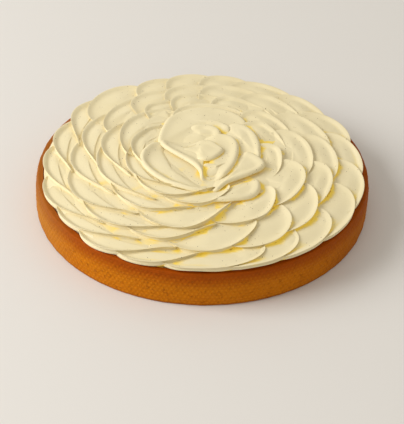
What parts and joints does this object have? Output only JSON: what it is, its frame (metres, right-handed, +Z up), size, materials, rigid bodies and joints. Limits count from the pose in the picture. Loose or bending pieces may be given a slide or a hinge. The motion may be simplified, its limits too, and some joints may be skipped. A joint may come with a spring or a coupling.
{
  "type": "piped cream tart",
  "caption": "Whole round vanilla tart: a straight-sided baked pastry shell topped with overlapping rings of piped vanilla cream petals.",
  "frame": {"origin": "middle of the flat underside of the pastry shell, at the height of the surface it stands on", "axes": "+Z up, out of the cream; +Y away from a viewer in front; +X to that viewer's right"},
  "size_m": [0.2258, 0.2168, 0.0411],
  "materials": {
    "baked_pastry": "baked sweet pastry, golden to red brown, matt, with rows of small raised dots from a perforated tart ring",
    "vanilla_cream": "whipped vanilla cream, pale ivory yellow, soft satin sheen, fine dark vanilla specks"
  },
  "bodies": {
    "root": {"crust": "baked_pastry", "cream": "vanilla_cream"}
  },
  "joints": []
}
